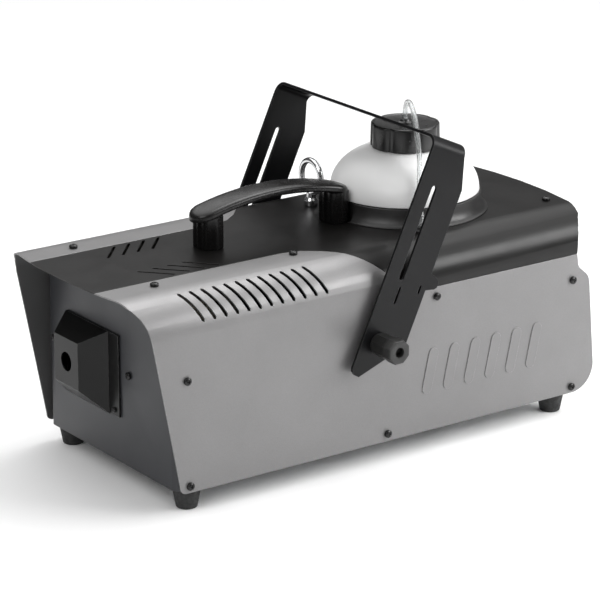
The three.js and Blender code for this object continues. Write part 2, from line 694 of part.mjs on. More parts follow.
// The bracket in its own frame: X across, Y from front edge to rear edge, Z along the arms.
function hangingBracket() {
  const strap = (inset) => {
    const half = ARM_OUT - inset;
    const top = ARM_TOP - inset;
    const r = BEND_R - inset;
    const low = -60 - inset;
    const shape = new THREE.Shape();
    shape.moveTo(-half, low);
    shape.lineTo(half, low);
    shape.absarc(half - r, top - r, r, 0, Math.PI / 2, false);
    shape.absarc(r - half, top - r, r, Math.PI / 2, Math.PI, false);
    shape.closePath();
    return shape;
  };
  const channel = alongY(strap(0), -60, 60, 3).subtract(alongY(strap(STRAP), -70, 70, 3));
  const outline = new THREE.Shape();
  outline.moveTo(ARM_FRONT, ARM_TOP + CUT);
  outline.lineTo(ARM_FRONT, -31);
  outline.quadraticCurveTo(ARM_FRONT + 1, -38, ARM_FRONT + 11, -38);
  outline.lineTo(ARM_REAR, 5);
  outline.lineTo(ARM_REAR, 64);
  outline.absarc(ARM_REAR + 7, 73, 6.5, -Math.PI / 2, Math.PI / 2, false);
  outline.lineTo(ARM_REAR, 82);
  outline.lineTo(ARM_REAR, 170);
  outline.lineTo(BAR_REAR, 201);
  outline.lineTo(BAR_REAR, ARM_TOP + CUT);
  outline.closePath();
  const through = (shape, segments) => alongX(shape, -150, 150, segments);
  return cutAway(
    channel.intersect(through(outline, 3)),
    through(stadium([-0.5, 69], [-0.5, 162], 6.5), 3),
    through(stadium([2, 42.5], [2, 58.5], 3), 1),
    through(stadium([26.8, 59], [26.8, 67], 2.4), 1),
    rod('x', [0, 0], -150, 150, 4.4, 16),
    rod('z', [0, 1], ARM_TOP - 10, ARM_TOP + CUT, 6.5, 20),
  );
}

// Clamp knob with its stud, about the X axis: the arm side is at x = 0.
function clampKnob() {
  const octagon = polar((angle) => 12 / Math.cos(((angle + Math.PI / 8) % (Math.PI / 4)) - Math.PI / 8) , 24);
  const grip = alongZ(octagon, 2, 35);
  const collar = rod('z', [0, 0], 0, 3, 11, 18);
  const stud = rod('z', [0, 0], -20, 1, 3.9, 14);
  const recess = rod('z', [0, 0], 29, 40, 4.6, 14);
  return cutAway(join(grip, collar, stud), recess);
}

function pivotSpacer() {
  return turned([[4.4, 0], [10, 0], [10, 6.7], [4.4, 6.7]], 18);
}

function pivotNut() {
  return turned([[4.4, 0], [11, 0], [11, 2], [7, 2], [7, 9], [4.4, 9]], 14);
}

// ---- electrics ------------------------------------------------------------------

function powerModule() {
  const floor = BOTTOM_Z + SHEET + GAP;
  const core = box(-108, -62, 186, 268, floor, 88);
  const coil = roundedRectangle(-116, -54, 200, 254, 12);
  return join(core, alongZ(coil, 42, 76, 2));
}

function controlBoard() {
  const board = box(-104, 104, BOARD_Y, BOARD_Y + BOARD, 118, 200);
  const parts = [[-80, 190, 26, 9], [-40, 186, 18, 14], [10, 150, 22, 12], [46, 178, 30, 10],
    [80, 136, 16, 16]];
  return join(board, ...parts.map(([x, z, width, tall]) => (
    box(x - width / 2, x + width / 2, BOARD_Y - 8, BOARD_Y + 0.4, z - tall / 2, z + tall / 2)
  )));
}

// Z-shaped bracket that holds the board to the rear panel.
function boardBracket() {
  const back = REAR_PANEL_Y - GAP;
  const front = BOARD_Y + BOARD + GAP;
  const flange = box(-25, 30, back - SHEET, back, 104, 116);
  const shelf = box(-25, 30, front, back, 114.5, 116);
  const upright = box(-25, 30, front, front + SHEET, 114.5, 150);
  return join(flange, shelf, upright);
}

const FACE_Y = REAR_PANEL_Y + SHEET + GAP;

// A snap-in housing: a face plate outside the panel, a body through it.
function snapHousing([x, z], bodyDepth) {
  const face = alongY(roundedRectangle(x - 17, x + 17, z - 13, z + 13, 3), FACE_Y, FACE_Y + 2, 3);
  const body = box(x - 14, x + 14, FACE_Y - bodyDepth, FACE_Y + 0.5, z - 10.5, z + 10.5);
  return join(face, body);
}

function switchHousing() {
  const [x, z] = SWITCH_AT;
  const well = box(x - 11.5, x + 11.5, FACE_Y - 12, FACE_Y + CUT, z - 8.5, z + 8.5);
  return cutAway(snapHousing(SWITCH_AT, 22), well);
}

// Rocker in its own frame, turning about the X axis through its origin.
function powerRocker() {
  const profile = new THREE.Shape();
  profile.moveTo(-5, -6.2);
  profile.lineTo(-1, -7.2);
  profile.lineTo(3.2, -7.6);
  profile.quadraticCurveTo(0.6, 0, 2.2, 7.4);
  profile.lineTo(-1, 7.2);
  profile.lineTo(-5, 6.2);
  profile.closePath();
  return alongX(profile, -11, 11, 6);
}

function powerInlet() {
  const [x, z] = INLET_AT;
  const well = box(x - 12, x + 12, FACE_Y - 15, FACE_Y + CUT, z - 8, z + 8);
  const pins = [[-7, 0], [0, 4], [7, 0]].map(([dx, dz]) => (
    box(x + dx - 1, x + dx + 1, FACE_Y - 16, FACE_Y - 3, z + dz - 2, z + dz + 2)
  ));
  return join(cutAway(snapHousing(INLET_AT, 26), well), ...pins);
}

function socketShell([x, z]) {
  const face = alongY(roundedRectangle(x - 13, x + 13, z - 15.5, z + 15.5, 3), FACE_Y, FACE_Y + 1.6, 3);
  return join(face, rod('y', [x, z], FACE_Y - 24, FACE_Y + 0.5, 11.6, 20));
}

const pinPlaces = [90, 210, 330].map((degrees) => {
  const angle = THREE.MathUtils.degToRad(degrees);
  return [5 * Math.cos(angle), 5 * Math.sin(angle)];
});

function dmxIn() {
  const [x, z] = DMX_IN_AT;
  const well = rod('y', [x, z], FACE_Y - 16, FACE_Y + CUT, 9.2, 20);
  const pins = pinPlaces.map(([dx, dz]) => rod('y', [x + dx, z + dz], FACE_Y - 17, FACE_Y - 3, 1.2, 8));
  return join(cutAway(socketShell(DMX_IN_AT), well), ...pins);
}

function dmxOut() {
  const [x, z] = DMX_OUT_AT;
  const holes = pinPlaces.map(([dx, dz]) => rod('y', [x + dx, z + dz], FACE_Y - 14, FACE_Y + CUT, 1.6, 8));
  const boss = rod('y', [x, z], FACE_Y + 1, FACE_Y + 2.4, 9.4, 20);
  return cutAway(join(socketShell(DMX_OUT_AT), boss), ...holes);
}

function fuseHolder() {
  const [x, z] = FUSE_AT;
  const flange = rod('y', [x, z], FACE_Y, FACE_Y + 2, 9, 18);
  const barrel = rod('y', [x, z], FACE_Y - 30, FACE_Y + 1, 6.3, 18);
  return cutAway(join(flange, barrel), rod('y', [x, z], FACE_Y - 24, FACE_Y + CUT, 4.9, 16));
}

// Fuse carrier cap in its own frame, turning about the Y axis.
function fuseCap() {
  const stem = rod('y', [0, 0], -20, 3, 4.5, 14);
  const head = rod('y', [0, 0], 2 + GAP, 8, 6.6, 18);
  return cutAway(join(stem, head), box(-5, 5, 6.8, 10, -0.7, 0.7));
}

function displayWindow() {
  const [x, z] = DISPLAY_AT;
  const [w, h] = DISPLAY_SIZE;
  return box(x - w / 2, x + w / 2, REAR_PANEL_Y - 3, REAR_PANEL_Y + SHEET, z - h / 2, z + h / 2);
}

// Push button in its own frame, the panel's outer face at y = 0, with a stem that reaches the board.
function menuButton() {
  const cap = rod('y', [0, 0], -4, 3.2, BUTTON_R, 14);
  const flange = rod('y', [0, 0], -4.3, -SHEET - GAP, BUTTON_R + 1.4, 14);
  const reach = REAR_PANEL_Y + SHEET - BOARD_Y - BOARD - BUTTON_TRAVEL - GAP;
  return join(cap, flange, rod('y', [0, 0], -reach, -4, 2, 10));
}

// ---- materials ------------------------------------------------------------------

const finish = (color, roughness, metalness = 0) => (
  new THREE.MeshStandardMaterial({ color, roughness, metalness })
);
const silverPaint = () => finish(0x96979a, 0.42, 0.35);
const blackPaint = () => finish(0x2c2b2a, 0.5, 0.1);
const charcoalPaint = () => finish(0x4a4a50, 0.5, 0.1);
const blackPlastic = () => finish(0x232324, 0.42);
const rubber = () => finish(0x141414, 0.85);
const steel = () => finish(0xb9bbbe, 0.35, 0.9);
const chrome = () => finish(0xd8d8da, 0.12, 1);
const brass = () => finish(0xb08d4a, 0.35, 0.9);
const aluminium = () => finish(0xb4b6b8, 0.4, 0.9);
const whitePlastic = () => finish(0xe9e9e6, 0.5);
const clearTube = () => {
  const material = finish(0xd5d8da, 0.15);
  material.transparent = true;
  material.opacity = 0.5;
  return material;
};
const wool = () => finish(0xc8c0a8, 0.95);
const boardGreen = () => finish(0x1f5a38, 0.6);

// ---- assembly -------------------------------------------------------------------

const machine = new THREE.Group();
machine.position.y = -(REAR_REACH - HOOD_REACH) / 2;

function add(name, body, material, position = [0, 0, 0], rotation = [0, 0, 0]) {
  const mesh = new THREE.Mesh(geometryOf(body), material);
  mesh.name = name;
  mesh.position.set(...position);
  mesh.rotation.set(...rotation);
  machine.add(mesh);
}

add('base_tray', baseTray(), steel());
add('front_plate', frontPlate(), charcoalPaint());
add('rear_panel', rearPanel(), blackPaint());
add('right_side_panel', sidePanel(1), silverPaint());
add('left_side_panel', sidePanel(-1), silverPaint());
add('top_cover', topCover(), blackPaint());

for (const [end, y] of [['front', FOOT_Y[0]], ['rear', FOOT_Y[1]]]) {
  add(`foot_${end}_right`, foot(), rubber(), [FOOT_X, y, 0]);
  add(`foot_${end}_left`, foot(), rubber(), [-FOOT_X, y, 0]);
}

add('nozzle_shroud', nozzleShroud(), blackPaint());
add('nozzle_flange', nozzleFlange(), blackPaint());
add('nozzle', nozzle(), brass());
add('heater_block', heaterBlock(), aluminium());
add('heater_jacket', heaterJacket(), wool());
add('heater_bracket_front', heaterBracket(26), steel());
add('heater_bracket_rear', heaterBracket(120), steel());

add('pump_bracket', pumpBracket(), steel());
add('pump_body', pumpBody(), blackPlastic());
add('pump_plunger', pumpPlunger(), steel());
add('pressure_pipe', pressurePipe(), steel());
add('suction_hose', suctionHose(), clearTube());

add('tank_collar', tankCollar(), blackPlastic(), [0, TANK_Y, 0]);
add('fluid_tank', fluidTank(), whitePlastic(), [0, TANK_Y, 0]);
add('tank_cradle', tankCradle(), blackPlastic(), [0, TANK_Y, 0]);
add('tank_cap', tankCap(), blackPlastic(), [0, TANK_Y, 0]);
add('cap_gland', capGland(), blackPlastic(), [0, TANK_Y, 0]);
add('pickup_tube', pickupTube(), clearTube());
add('tube_fitting', tubeFitting(), blackPlastic(), [...FITTING, 0]);

add('carry_handle', carryHandle(), blackPlastic());
add('lifting_eye', liftingEye(), chrome(), [...EYE, 0]);
add('eye_nut', eyeNut(), steel(), [...EYE, 0]);

add('hanging_bracket', hangingBracket(), blackPaint(), [0, PIVOT_Y, PIVOT_Z], [-LEAN, 0, 0]);
for (const [side, sign] of [['right', 1], ['left', -1]]) {
  const turn = [0, (sign * Math.PI) / 2, 0];
  const at = (x) => [sign * x, PIVOT_Y, PIVOT_Z];
  add(`clamp_knob_${side}`, clampKnob(), blackPlastic(), at(ARM_OUT + GAP), turn);
  add(`pivot_spacer_${side}`, pivotSpacer(), blackPlastic(), at(HALF_WIDTH + GAP), turn);
  add(`pivot_nut_${side}`, pivotNut(), steel(), at(HALF_WIDTH - SHEET - GAP), [0, (-sign * Math.PI) / 2, 0]);
}

add('power_module', powerModule(), steel());
add('control_board', controlBoard(), boardGreen());
add('board_bracket', boardBracket(), steel());
add('switch_housing', switchHousing(), blackPlastic());
add('power_rocker', powerRocker(), blackPlastic(), [SWITCH_AT[0], FACE_Y + 0.5, SWITCH_AT[1]], [ROCKER_TILT, 0, 0]);
add('power_inlet', powerInlet(), blackPlastic());
add('fuse_holder', fuseHolder(), blackPlastic());
add('fuse_cap', fuseCap(), blackPlastic(), [FUSE_AT[0], FACE_Y, FUSE_AT[1]]);
add('dmx_in', dmxIn(), steel());
add('dmx_out', dmxOut(), steel());
add('display_window', displayWindow(), finish(0x101820, 0.2));
buttonX.forEach((x, i) => {
  add(`menu_button_${i + 1}`, menuButton(), rubber(), [x, REAR_PANEL_Y + SHEET, BUTTON_Z]);
});

const topScrewNames = ['front_right', 'front_left', 'middle_right', 'middle_left', 'rear_right', 'rear_left'];
[...coverScrews, ...rearScrews].forEach(([x, y], i) => {
  add(`cover_screw_${topScrewNames[i]}`, screw(), blackPaint(), [x, y, TOP_Z]);
});

export default machine;
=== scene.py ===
"""Looks of a stage fog machine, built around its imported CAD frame. Metres, +Z up, nozzle towards -Y."""

import json
import math

import bpy
from mathutils import Matrix, Vector


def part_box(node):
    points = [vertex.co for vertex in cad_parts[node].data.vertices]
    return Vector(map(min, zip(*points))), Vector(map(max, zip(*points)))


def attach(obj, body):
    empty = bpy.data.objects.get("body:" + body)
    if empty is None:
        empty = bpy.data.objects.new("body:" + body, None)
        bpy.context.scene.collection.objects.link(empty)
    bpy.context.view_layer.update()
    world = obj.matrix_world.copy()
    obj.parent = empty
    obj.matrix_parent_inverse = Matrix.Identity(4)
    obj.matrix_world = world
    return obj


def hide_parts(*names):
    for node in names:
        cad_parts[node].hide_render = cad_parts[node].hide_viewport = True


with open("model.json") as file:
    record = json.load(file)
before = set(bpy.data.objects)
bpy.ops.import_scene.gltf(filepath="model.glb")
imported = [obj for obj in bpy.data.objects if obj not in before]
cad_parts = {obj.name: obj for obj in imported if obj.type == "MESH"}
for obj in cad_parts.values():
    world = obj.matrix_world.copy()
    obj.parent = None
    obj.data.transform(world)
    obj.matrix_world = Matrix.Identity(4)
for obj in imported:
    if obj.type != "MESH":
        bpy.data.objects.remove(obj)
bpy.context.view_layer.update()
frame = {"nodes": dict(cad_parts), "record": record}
NODES = frame["nodes"]
SLOT_OF = {part["node"]: part["material_slot"] for part in frame["record"]["subparts"]}

MM = 0.001
SIDES = (("right", 1), ("left", -1))
X_AXIS = Vector((1, 0, 0))
Y_AXIS = Vector((0, 1, 0))
Z_AXIS = Vector((0, 0, 1))

# ---- camera ---------------------------------------------------------------------

VIEW_TARGET = Vector((0, -0.017, 0.1))
VIEW_AZIMUTH = math.radians(54.5)
VIEW_ELEVATION = math.radians(18.557)
VIEW_DISTANCE = 3.0919
VIEW_OFFSET = (0.012245, 0.041877)      # the camera slides this far right and up
VIEW_LENS = 181.15


def make_camera():
    back = Vector((
        math.sin(VIEW_AZIMUTH) * math.cos(VIEW_ELEVATION),
        -math.cos(VIEW_AZIMUTH) * math.cos(VIEW_ELEVATION),
        math.sin(VIEW_ELEVATION),
    ))
    right = Vector((math.cos(VIEW_AZIMUTH), math.sin(VIEW_AZIMUTH), 0))
    up = back.cross(right)
    data = bpy.data.cameras.new("camera")
    data.lens = VIEW_LENS
    data.clip_end = 50
    camera = bpy.data.objects.new("camera", data)
    bpy.context.scene.collection.objects.link(camera)
    turn = Matrix((right, up, back)).transposed().to_4x4()
    place = VIEW_TARGET + back * VIEW_DISTANCE + right * VIEW_OFFSET[0] + up * VIEW_OFFSET[1]
    camera.matrix_world = Matrix.Translation(place) @ turn
    bpy.context.scene.camera = camera


# ---- material building blocks -----------------------------------------------------


class Finish:
    """One Principled material, with the procedural textures that feed it."""

    def __init__(self, name, color, roughness, **sockets):
        self.material = bpy.data.materials.new(name)
        self.material.use_nodes = True
        self.tree = self.material.node_tree
        self.shader = self.tree.nodes["Principled BSDF"]
        self.color = (*color, 1)
        self.shader.inputs["Base Color"].default_value = self.color
        self.shader.inputs["Roughness"].default_value = roughness
        for socket, value in sockets.items():
            self.shader.inputs[socket.replace("_", " ")].default_value = value
        source = self.tree.nodes.new("ShaderNodeTexCoord")
        self.coordinates = source.outputs["Object"]
        self.facing = source.outputs["Normal"]

    def feed(self, target, source):
        """Links an output, or sets a plain value."""
        if isinstance(source, bpy.types.NodeSocket):
            self.tree.links.new(source, target)
        else:
            target.default_value = source

    def noise(self, size, detail=3.0, stretch=(1, 1, 1)):
        """Noise whose features are about size metres across."""
        mapping = self.tree.nodes.new("ShaderNodeMapping")
        mapping.inputs["Scale"].default_value = [s / size for s in stretch]
        self.feed(mapping.inputs["Vector"], self.coordinates)
        texture = self.tree.nodes.new("ShaderNodeTexNoise")
        texture.inputs["Scale"].default_value = 1
        texture.inputs["Detail"].default_value = detail
        self.feed(texture.inputs["Vector"], mapping.outputs["Vector"])
        return texture.outputs["Fac"]

    def cells(self, size, stretch=(1, 1, 1)):
        """Distance to the nearest cell centre of a cell pattern."""
        mapping = self.tree.nodes.new("ShaderNodeMapping")
        mapping.inputs["Scale"].default_value = [s / size for s in stretch]
        self.feed(mapping.inputs["Vector"], self.coordinates)
        texture = self.tree.nodes.new("ShaderNodeTexVoronoi")
        texture.inputs["Scale"].default_value = 1
        self.feed(texture.inputs["Vector"], mapping.outputs["Vector"])
        return texture.outputs["Distance"]

    def spread(self, value, low, high, start=0.35, end=0.65):
        node = self.tree.nodes.new("ShaderNodeMapRange")
        node.inputs["From Min"].default_value = start
        node.inputs["From Max"].default_value = end
        node.inputs["To Min"].default_value = low
        node.inputs["To Max"].default_value = high
        self.feed(node.inputs["Value"], value)
        return node.outputs["Result"]

    def product(self, a, b):
        node = self.tree.nodes.new("ShaderNodeMath")
        node.operation = "MULTIPLY"
        self.feed(node.inputs[0], a)
        self.feed(node.inputs[1], b)
        return node.outputs["Value"]

    def edges(self, radius):
        """Shades edges as if rounded; gives 0 on flats and 1 on edges, about radius metres wide."""
        bevel = self.tree.nodes.new("ShaderNodeBevel")
        bevel.samples = 6
        bevel.inputs["Radius"].default_value = radius
        self.feed(self.shader.inputs["Normal"], bevel.outputs["Normal"])
        geometry = self.tree.nodes.new("ShaderNodeNewGeometry")
        dot = self.tree.nodes.new("ShaderNodeVectorMath")
        dot.operation = "DOT_PRODUCT"
        self.feed(dot.inputs[0], bevel.outputs["Normal"])
        self.feed(dot.inputs[1], geometry.outputs["Normal"])
        return self.spread(dot.outputs["Value"], 1, 0, 0.8, 0.99)

    def inside_faces(self):
        """1 on the faces of a side panel that look into the casing, 0 on its outer faces: the mask for the
        painted shade inside the casing.
        """
        place = self.tree.nodes.new("ShaderNodeSeparateXYZ")
        normal = self.tree.nodes.new("ShaderNodeSeparateXYZ")
        self.feed(place.inputs["Vector"], self.coordinates)
        self.feed(normal.inputs["Vector"], self.facing)
        side = self.tree.nodes.new("ShaderNodeMath")
        side.operation = "SIGN"
        self.feed(side.inputs[0], place.outputs["X"])
        outwards = self.tree.nodes.new("ShaderNodeMath")
        outwards.operation = "ADD"
        self.feed(outwards.inputs[0], self.product(normal.outputs["X"], side.outputs["Value"]))
        self.feed(outwards.inputs[1], normal.outputs["Z"])
        return self.spread(outwards.outputs["Value"], 1, 0, -0.3, -0.2)

    def tint(self, color, amount):
        """Mixes a second colour over what the base colour is so far."""
        mix = self.tree.nodes.new("ShaderNodeMix")
        mix.data_type = "RGBA"
        base = self.shader.inputs["Base Color"]
        self.feed(mix.inputs["A"], base.links[0].from_socket if base.is_linked else tuple(self.color))
        mix.inputs["B"].default_value = (*color, 1)
        self.feed(mix.inputs["Factor"], amount)
        self.feed(base, mix.outputs["Result"])

    def rough(self, value, low, high):
        self.feed(self.shader.inputs["Roughness"], self.spread(value, low, high))

    def bump(self, height, distance, strength=1.0):
        node = self.tree.nodes.new("ShaderNodeBump")
        node.inputs["Distance"].default_value = distance
        node.inputs["Strength"].default_value = strength
        self.feed(node.inputs["Height"], height)
        normal = self.shader.inputs["Normal"]
        if normal.is_linked:
            self.feed(node.inputs["Normal"], normal.links[0].from_socket)
        self.feed(normal, node.outputs["Normal"])


def powder_coat(name, color, roughness, metallic=0.0, texture=0.5, edge_wear_and_highlight=(0.4, 0.4, 0.4), edge_wear_and_highlight_amount=0.25,
                shine=0.5, painted_inner_shade=None):
    """Baked powder paint: faint orange peel, slow changes of tone, and thin lighter edges, partly worn paint
    and partly a painted highlight.
    """
    paint = Finish(name, color, roughness, Metallic=metallic, Specular_IOR_Level=shine)
    lighter = [min(1, c * 1.14 + 0.001) for c in color]
    paint.tint(lighter, paint.spread(paint.noise(0.09, 4), 0, 0.6))
    paint.tint([c * 0.82 for c in color], paint.spread(paint.noise(0.0007, 2), 0, 0.35))
    # Edges painted lighter in patches: partly worn paint, partly a painted highlight standing for the light
    # line that edges catch.
    worn_and_highlit_edges = paint.product(paint.edges(0.0006), paint.spread(paint.noise(0.006, 4), 0.2, 1))
    paint.tint(edge_wear_and_highlight, paint.product(worn_and_highlit_edges, edge_wear_and_highlight_amount))
    # Faces that look into the casing are painted darker: painted shade.
    if painted_inner_shade:
        paint.tint(painted_inner_shade, paint.inside_faces())
    paint.rough(paint.noise(0.03, 4), roughness - 0.02, roughness + 0.03)
    paint.bump(paint.noise(0.0016, 2), 0.00012, texture)
    paint.bump(paint.noise(0.07, 2), 0.0006, 0.08)
    return paint.material


def moulding(name, color, roughness, grain=0.35, **sockets):
    """Injection-moulded plastic with a fine spark-eroded grain and a painted highlight along its edges."""
    plastic = Finish(name, color, roughness, **sockets)
    plastic.tint([c * 1.15 + 0.001 for c in color], plastic.spread(plastic.noise(0.03, 4), 0, 0.5))
    # Edges painted lighter: a painted highlight along every edge.
    plastic.tint([c * 1.5 + 0.012 for c in color], plastic.product(plastic.edges(0.0004), 0.15))
    plastic.rough(plastic.noise(0.012, 4), roughness - 0.03, roughness + 0.04)
    plastic.bump(plastic.noise(0.0011, 2), 0.00002, grain)
    return plastic.material


def rubber(name, color):
    soft = Finish(name, color, 0.75)
    soft.tint([c * 1.8 + 0.01 for c in color], soft.spread(soft.noise(0.012, 6), 0, 0.5))
    soft.rough(soft.noise(0.004, 4), 0.6, 0.9)
    soft.bump(soft.noise(0.0009, 4), 0.00015, 0.5)
    return soft.material


def bare_metal(name, color, roughness, grain=(40, 1, 1), grain_depth=0.3):
    """Bare metal with a drawn grain along one direction and a faint cloudy film."""
    metal = Finish(name, color, roughness, Metallic=1.0)
    metal.tint([c * 0.72 for c in color], metal.spread(metal.noise(0.03, 5), 0, 0.6))
    metal.rough(metal.noise(0.02, 4, grain), roughness - 0.08, roughness + 0.12)
    metal.bump(metal.noise(0.02, 3, grain), 0.00004, grain_depth)
    return metal.material


def milky_plastic(name):
    """Natural polyethylene: white, waxy and a little translucent."""
    wax = Finish(name, (0.98, 0.98, 0.97), 0.4, Subsurface_Weight=0.3, Subsurface_Scale=0.03, IOR=1.5)
    wax.shader.inputs["Subsurface Radius"].default_value = (1, 1, 0.95)
    wax.tint((0.93, 0.93, 0.915), wax.spread(wax.noise(0.05, 3), 0, 0.5))
    wax.rough(wax.noise(0.012, 4), 0.34, 0.48)
    wax.bump(wax.noise(0.03, 3), 0.0006, 0.25)
    wax.bump(wax.noise(0.0012, 2), 0.00005, 0.3)
    return wax.material


def clear_plastic(name):
    clear = Finish(name, (0.93, 0.94, 0.94), 0.1, Transmission_Weight=0.92, IOR=1.38)
    clear.tint((0.8, 0.82, 0.82), clear.spread(clear.noise(0.01, 3), 0, 0.5))
    clear.rough(clear.noise(0.01, 4), 0.05, 0.22)
    return clear.material


def woven_insulation(name):
    wool = Finish(name, (0.72, 0.68, 0.56), 0.95, Sheen_Weight=0.3)
    wool.tint((0.5, 0.45, 0.34), wool.spread(wool.noise(0.004, 5), 0, 0.9))
    wool.bump(wool.cells(0.0022, (1, 1, 3)), 0.0009, 0.9)
    wool.rough(wool.noise(0.003, 4), 0.85, 1.0)
    return wool.material


def circuit_laminate(name):
    board = Finish(name, (0.015, 0.11, 0.05), 0.4)
    board.tint((0.03, 0.2, 0.09), board.spread(board.cells(0.006), 0, 1, 0.42, 0.5))
    board.tint((0.55, 0.5, 0.35), board.spread(board.cells(0.0045), 0.8, 0, 0.08, 0.12))
    board.rough(board.noise(0.01, 3), 0.3, 0.5)
    board.bump(board.cells(0.006), 0.00003, 0.6)
    return board.material


def tinted_pane(name):
    pane = Finish(name, (0.01, 0.014, 0.02), 0.12, Coat_Weight=0.6)
    pane.tint((0.02, 0.03, 0.045), pane.spread(pane.noise(0.04, 3), 0, 0.8))
    pane.rough(pane.noise(0.01, 5), 0.08, 0.2)
    return pane.material


MATERIALS = {
    # The silver panels' inner faces take a darker grey as painted shade.
    "silver_paint": powder_coat(
        "silver_paint", (0.215, 0.212, 0.213), 0.43, metallic=0.5, texture=0.3, edge_wear_and_highlight=(0.8, 0.8, 0.8),
        edge_wear_and_highlight_amount=0.5, painted_inner_shade=(0.15, 0.15, 0.15)),
    "cover_paint": powder_coat(
        "cover_paint", (0.0050, 0.0046, 0.0044), 0.32, texture=0.3, edge_wear_and_highlight=(0.2, 0.19, 0.18), edge_wear_and_highlight_amount=0.3,
        shine=0.3),
    "charcoal_paint": powder_coat(
        "charcoal_paint", (0.024, 0.025, 0.029), 0.38, metallic=0.15, texture=0.35, edge_wear_and_highlight=(0.25, 0.25, 0.27),
        edge_wear_and_highlight_amount=0.3),
    "black_paint": powder_coat(
        "black_paint", (0.0045, 0.0045, 0.0045), 0.3, texture=0.35, edge_wear_and_highlight_amount=0.5, shine=0.25),
    "bracket_paint": powder_coat(
        "bracket_paint", (0.0045, 0.0045, 0.005), 0.34, texture=0.6, edge_wear_and_highlight=(0.3, 0.3, 0.3), edge_wear_and_highlight_amount=0.4,
        shine=0.2),
    "pump_paint": powder_coat("pump_paint", (0.03, 0.03, 0.035), 0.45),
    "screw_coating": powder_coat(
        "screw_coating", (0.008, 0.008, 0.008), 0.25, metallic=0.3, texture=0.2, edge_wear_and_highlight=(0.3, 0.3, 0.3),
        edge_wear_and_highlight_amount=0.5),
    "collar_plastic": moulding("collar_plastic", (0.013, 0.0125, 0.0125), 0.38, 0.5),
    "black_plastic": moulding("black_plastic", (0.010, 0.010, 0.010), 0.42),
    "cap_plastic": moulding("cap_plastic", (0.0085, 0.0085, 0.0085), 0.3),
    "handle_plastic": moulding(
        "handle_plastic", (0.0060, 0.0056, 0.0056), 0.26, 0.3, Specular_IOR_Level=0.35),
    "knob_plastic": moulding("knob_plastic", (0.014, 0.014, 0.0135), 0.38, 0.4),
    "tank_plastic": milky_plastic("tank_plastic"),
    "clear_tube": clear_plastic("clear_tube"),
    "bright_plating": bare_metal("bright_plating", (0.82, 0.82, 0.83), 0.12, (1, 1, 1), 0.1),
    "bare_steel": bare_metal("bare_steel", (0.58, 0.585, 0.59), 0.36, (1, 30, 1)),
    "socket_metal": bare_metal("socket_metal", (0.42, 0.425, 0.43), 0.38, (1, 1, 25)),
    "brass": bare_metal("brass", (0.62, 0.44, 0.18), 0.3, (1, 20, 1)),
    "cast_aluminium": bare_metal("cast_aluminium", (0.6, 0.61, 0.62), 0.5, (1, 1, 1), 0.8),
    "insulation": woven_insulation("insulation"),
    "board_laminate": circuit_laminate("board_laminate"),
    "display_pane": tinted_pane("display_pane"),
    "foot_rubber": rubber("foot_rubber", (0.018, 0.018, 0.018)),
    "button_rubber": rubber("button_rubber", (0.025, 0.025, 0.027)),
}


# ---- shape building blocks: sizes in millimetres from here to the stage ------------------

FILLET_STEPS = 4
COVER_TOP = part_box("top_cover")[1].z / MM + 0.3     # where flanges rest, clear of the cover


def fillet(points, radius):
    """Rounds every inner corner of a (radius, height) line."""
    line = [Vector(p) for p in points]
    out = [line[0]]
    for before, corner, after in zip(line, line[1:], line[2:]):
        start = corner + (before - corner).normalized() * min(radius, (before - corner).length / 2)
        end = corner + (after - corner).normalized() * min(radius, (after - corner).length / 2)
        for i in range(FILLET_STEPS + 1):
            t = i / FILLET_STEPS
            out.append(start * (1 - t) ** 2 + corner * 2 * t * (1 - t) + end * t ** 2)
    out.append(line[-1])
    return out


def loft(rings, mirrored_ends=False):
    """Faces between rings of equal length, with both ends closed.

    The ends are single polygons, or strips of quads where a ring's second half mirrors its first.
    """
    count = len(rings[0])
    last = (len(rings) - 1) * count
    verts = [point for ring in rings for point in ring]
    faces = []
    for i in range(len(rings) - 1):
        for j in range(count):
            k = (j + 1) % count
            faces.append((i * count + j, i * count + k, (i + 1) * count + k, (i + 1) * count + j))
    if mirrored_ends:
        for base, flip in ((0, True), (last, False)):
            for j in range(count // 2 - 1):
                quad = (base + j, base + j + 1, base + count - 2 - j, base + count - 1 - j)
                faces.append(quad[::-1] if flip else quad)
    else:
        faces.append(tuple(reversed(range(count))))
        faces.append(tuple(range(last, last + count)))
    return verts, faces


def closed_loft(rings):
    """Faces between rings of equal length, and from the last ring back to the first."""
    count, total = len(rings[0]), len(rings)
    verts = [point for ring in rings for point in ring]
    faces = []
    for i in range(total):
        following = (i + 1) % total
        for j in range(count):
            k = (j + 1) % count
            faces.append((i * count + j, i * count + k, following * count + k, following * count + j))
    return verts, faces


def ring(radius_at, height, count):
    """A ring about Z whose radius may change with the angle."""
    angles = [2 * math.pi * i / count for i in range(count)]
    return [Vector((radius_at(a) * math.cos(a), radius_at(a) * math.sin(a), height)) for a in angles]


def lathe(profile, count):
    """A (radius, height) line turned about Z."""
    return loft([ring(lambda angle, r=r: r, height, count) for r, height in profile])


def circle(centre, across, along, radius, count):
    """Points around a centre, in the plane of two directions."""
    turns = [2 * math.pi * i / count for i in range(count)]
    return [centre + across * radius * math.cos(a) + along * radius * math.sin(a) for a in turns]


def smooth_path(points, steps):
    """A Catmull-Rom line through points."""
    line = [Vector(p) for p in points]
    line = [line[0] * 2 - line[1], *line, line[-1] * 2 - line[-2]]
    out = []
    for p0, p1, p2, p3 in zip(line, line[1:], line[2:], line[3:]):
        for i in range(steps):
            t = i / steps
            out.append(0.5 * (2 * p1 + (p2 - p0) * t + (2 * p0 - 5 * p1 + 4 * p2 - p3) * t ** 2
                              + (3 * p1 - p0 - 3 * p2 + p3) * t ** 3))
    return [*out, line[-2]]


